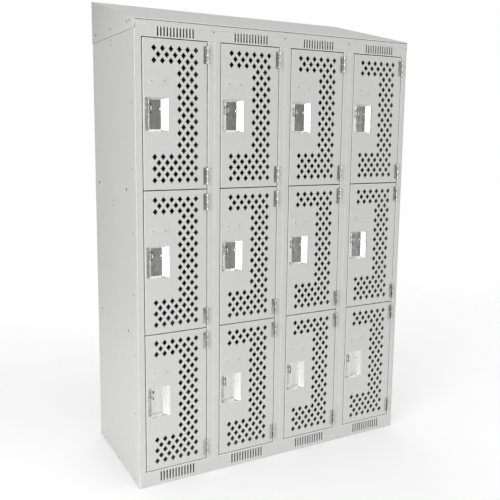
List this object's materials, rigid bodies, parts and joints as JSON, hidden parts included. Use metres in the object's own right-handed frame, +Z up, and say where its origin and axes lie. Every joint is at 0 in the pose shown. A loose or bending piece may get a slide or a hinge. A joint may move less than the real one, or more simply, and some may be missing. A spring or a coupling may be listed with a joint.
{
  "type": "locker cabinet",
  "caption": "Free-standing bank of perforated-door steel lockers in tiers, with recessed handle cups, padlock staples, louvred header and sill strips and a sloping hood.",
  "frame": {"origin": "on the floor under the middle of the bank", "axes": "+Z up, doors face -Y, +X to the right seen from the front"},
  "size_m": [1.2192, 0.5426, 1.867],
  "materials": {
    "door_paint": "light grey baked enamel, satin",
    "frame_paint": "light grey baked enamel, satin",
    "panel_paint": "light grey baked enamel, satin",
    "cup_steel": "deep-drawn stainless steel, bright"
  },
  "bodies": {
    "cabinet": {"back_panel": "panel_paint", "bottom_pan": "panel_paint", "header_1": "frame_paint", "header_2": "frame_paint", "header_3": "frame_paint", "header_4": "frame_paint", "hinge_post_1": "frame_paint", "hinge_post_2": "frame_paint", "hinge_post_3": "frame_paint", "hinge_post_4": "frame_paint", "hood_cover": "frame_paint", "hood_end_left": "frame_paint", "hood_end_right": "frame_paint", "latch_post_1": "frame_paint", "latch_post_2": "frame_paint", "latch_post_3": "frame_paint", "latch_post_4": "frame_paint", "partition_1": "panel_paint", "partition_2": "panel_paint", "partition_3": "panel_paint", "shelf_1_lower": "panel_paint", "shelf_1_upper": "panel_paint", "shelf_2_lower": "panel_paint", "shelf_2_upper": "panel_paint", "shelf_3_lower": "panel_paint", "shelf_3_upper": "panel_paint", "shelf_4_lower": "panel_paint", "shelf_4_upper": "panel_paint", "side_panel_left": "panel_paint", "side_panel_right": "panel_paint", "sill_1": "frame_paint", "sill_2": "frame_paint", "sill_3": "frame_paint", "sill_4": "frame_paint", "top_pan": "panel_paint"},
    "door_1_top": {"door_1_top": "door_paint", "handle_cup_1_top": "cup_steel"},
    "door_1_middle": {"door_1_middle": "door_paint", "handle_cup_1_middle": "cup_steel"},
    "door_1_bottom": {"door_1_bottom": "door_paint", "handle_cup_1_bottom": "cup_steel"},
    "door_2_top": {"door_2_top": "door_paint", "handle_cup_2_top": "cup_steel"},
    "door_2_middle": {"door_2_middle": "door_paint", "handle_cup_2_middle": "cup_steel"},
    "door_2_bottom": {"door_2_bottom": "door_paint", "handle_cup_2_bottom": "cup_steel"},
    "door_3_top": {"door_3_top": "door_paint", "handle_cup_3_top": "cup_steel"},
    "door_3_middle": {"door_3_middle": "door_paint", "handle_cup_3_middle": "cup_steel"},
    "door_3_bottom": {"door_3_bottom": "door_paint", "handle_cup_3_bottom": "cup_steel"},
    "door_4_top": {"door_4_top": "door_paint", "handle_cup_4_top": "cup_steel"},
    "door_4_middle": {"door_4_middle": "door_paint", "handle_cup_4_middle": "cup_steel"},
    "door_4_bottom": {"door_4_bottom": "door_paint", "handle_cup_4_bottom": "cup_steel"}
  },
  "joints": [
    {"name": "door_1_top_hinge", "type": "hinge", "parent": "cabinet", "child": "door_1_top", "pos_m": [-0.3317, -0.2676, 1.4024], "axis": [0, 0, 1], "range_deg": [0, 170]},
    {"name": "door_1_middle_hinge", "type": "hinge", "parent": "cabinet", "child": "door_1_middle", "pos_m": [-0.3317, -0.2676, 0.866], "axis": [0, 0, 1], "range_deg": [0, 170]},
    {"name": "door_1_bottom_hinge", "type": "hinge", "parent": "cabinet", "child": "door_1_bottom", "pos_m": [-0.3317, -0.2676, 0.3296], "axis": [0, 0, 1], "range_deg": [0, 170]},
    {"name": "door_2_top_hinge", "type": "hinge", "parent": "cabinet", "child": "door_2_top", "pos_m": [-0.0269, -0.2676, 1.4024], "axis": [0, 0, 1], "range_deg": [0, 170]},
    {"name": "door_2_middle_hinge", "type": "hinge", "parent": "cabinet", "child": "door_2_middle", "pos_m": [-0.0269, -0.2676, 0.866], "axis": [0, 0, 1], "range_deg": [0, 170]},
    {"name": "door_2_bottom_hinge", "type": "hinge", "parent": "cabinet", "child": "door_2_bottom", "pos_m": [-0.0269, -0.2676, 0.3296], "axis": [0, 0, 1], "range_deg": [0, 170]},
    {"name": "door_3_top_hinge", "type": "hinge", "parent": "cabinet", "child": "door_3_top", "pos_m": [0.2779, -0.2676, 1.4024], "axis": [0, 0, 1], "range_deg": [0, 170]},
    {"name": "door_3_middle_hinge", "type": "hinge", "parent": "cabinet", "child": "door_3_middle", "pos_m": [0.2779, -0.2676, 0.866], "axis": [0, 0, 1], "range_deg": [0, 170]},
    {"name": "door_3_bottom_hinge", "type": "hinge", "parent": "cabinet", "child": "door_3_bottom", "pos_m": [0.2779, -0.2676, 0.3296], "axis": [0, 0, 1], "range_deg": [0, 170]},
    {"name": "door_4_top_hinge", "type": "hinge", "parent": "cabinet", "child": "door_4_top", "pos_m": [0.5827, -0.2676, 1.4024], "axis": [0, 0, 1], "range_deg": [0, 170]},
    {"name": "door_4_middle_hinge", "type": "hinge", "parent": "cabinet", "child": "door_4_middle", "pos_m": [0.5827, -0.2676, 0.866], "axis": [0, 0, 1], "range_deg": [0, 170]},
    {"name": "door_4_bottom_hinge", "type": "hinge", "parent": "cabinet", "child": "door_4_bottom", "pos_m": [0.5827, -0.2676, 0.3296], "axis": [0, 0, 1], "range_deg": [0, 170]}
  ]
}
